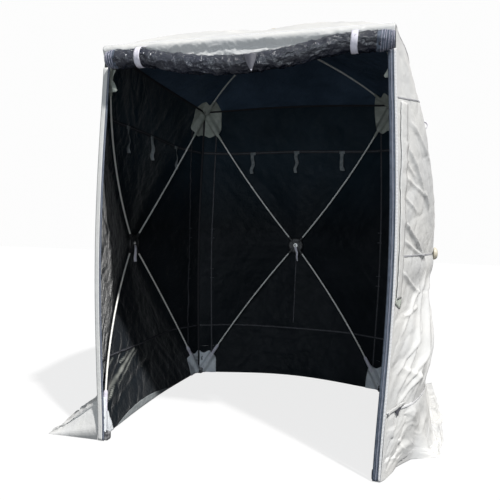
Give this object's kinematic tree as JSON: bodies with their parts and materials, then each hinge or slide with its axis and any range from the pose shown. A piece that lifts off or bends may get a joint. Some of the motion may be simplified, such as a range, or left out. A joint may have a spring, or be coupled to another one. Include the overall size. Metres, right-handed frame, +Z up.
{
  "type": "work shelter tent",
  "caption": "Pop-up work shelter tent with hubbed fabric walls and roof on flexible rods, rolled-up front door, corner feet and ground skirts.",
  "frame": {"origin": "on the ground under the middle of the shelter with its skirts", "axes": "+Z up, +X to the right as seen from the open front, +Y from the open front to the back wall"},
  "size_m": [2.114, 1.8606, 2.3015],
  "materials": {
    "white_fabric": "coated white outside, black inside",
    "black_fabric": "coated, slight sheen",
    "grey_fabric": "matt woven",
    "webbing": "woven webbing",
    "dark_webbing": "woven webbing",
    "zip_tape": "zip tape",
    "fibreglass": "smooth glass-fibre rod",
    "black_plastic": "moulded, fine grain",
    "grey_plastic": "moulded, fine grain"
  },
  "bodies": {
    "shelter": {"left_wall": "white_fabric", "back_wall": "white_fabric", "right_wall": "white_fabric", "roof_panel": "white_fabric", "left_skirt": "white_fabric", "back_skirt": "white_fabric", "right_skirt": "white_fabric", "left_wall_ties": "dark_webbing", "back_wall_ties": "dark_webbing", "right_wall_ties": "dark_webbing", "left_rod_upper_front": "fibreglass", "left_rod_upper_back": "fibreglass", "left_rod_lower_front": "fibreglass", "left_rod_lower_back": "fibreglass", "right_rod_upper_front": "fibreglass", "right_rod_upper_back": "fibreglass", "right_rod_lower_front": "fibreglass", "right_rod_lower_back": "fibreglass", "back_rod_upper_left": "fibreglass", "back_rod_upper_right": "fibreglass", "back_rod_lower_left": "fibreglass", "back_rod_lower_right": "fibreglass", "roof_rod_front_left": "fibreglass", "roof_rod_front_right": "fibreglass", "roof_rod_back_left": "fibreglass", "roof_rod_back_right": "fibreglass", "front_left_foot": "grey_plastic", "front_left_top_socket": "grey_plastic", "front_left_bottom_patch": "grey_fabric", "front_left_top_patch": "grey_fabric", "back_left_foot": "grey_plastic", "back_left_top_socket": "grey_plastic", "back_left_bottom_patch": "grey_fabric", "back_left_top_patch": "grey_fabric", "front_right_foot": "grey_plastic", "front_right_top_socket": "grey_plastic", "front_right_bottom_patch": "grey_fabric", "front_right_top_patch": "grey_fabric", "back_right_foot": "grey_plastic", "back_right_top_socket": "grey_plastic", "back_right_bottom_patch": "grey_fabric", "back_right_top_patch": "grey_fabric", "front_header": "white_fabric", "door_roll": "black_fabric", "left_door_strap": "webbing", "right_door_strap": "webbing", "left_front_zip": "zip_tape", "right_front_zip": "zip_tape"},
    "left_hub_body": {"left_hub": "black_plastic", "left_hub_strap": "webbing"},
    "right_hub_body": {"right_hub": "black_plastic", "right_hub_strap": "webbing"},
    "back_hub_body": {"back_hub": "black_plastic", "back_hub_strap": "webbing"},
    "roof_hub_body": {"roof_hub": "black_plastic", "roof_hub_strap": "webbing"}
  },
  "joints": [
    {"name": "left_hub_pop", "type": "slide", "parent": "shelter", "child": "left_hub_body", "axis": [1, 0, 0], "range_m": [0, 0.409], "deforming": ["left_wall", "left_rod_upper_front", "left_rod_upper_back", "left_rod_lower_front", "left_rod_lower_back", "left_wall_ties", "left_skirt"]},
    {"name": "back_hub_pop", "type": "slide", "parent": "shelter", "child": "back_hub_body", "axis": [0, -1, 0], "range_m": [0, 0.409], "deforming": ["back_wall", "back_rod_upper_left", "back_rod_upper_right", "back_rod_lower_left", "back_rod_lower_right", "back_wall_ties", "back_skirt"]},
    {"name": "right_hub_pop", "type": "slide", "parent": "shelter", "child": "right_hub_body", "axis": [-1, 0, 0], "range_m": [0, 0.409], "deforming": ["right_wall", "right_rod_upper_front", "right_rod_upper_back", "right_rod_lower_front", "right_rod_lower_back", "right_wall_ties", "right_skirt"]},
    {"name": "roof_hub_pop", "type": "slide", "parent": "shelter", "child": "roof_hub_body", "axis": [0, 0, -1], "range_m": [0, 0.488], "deforming": ["roof_panel", "roof_rod_front_left", "roof_rod_front_right", "roof_rod_back_left", "roof_rod_back_right"]}
  ]
}
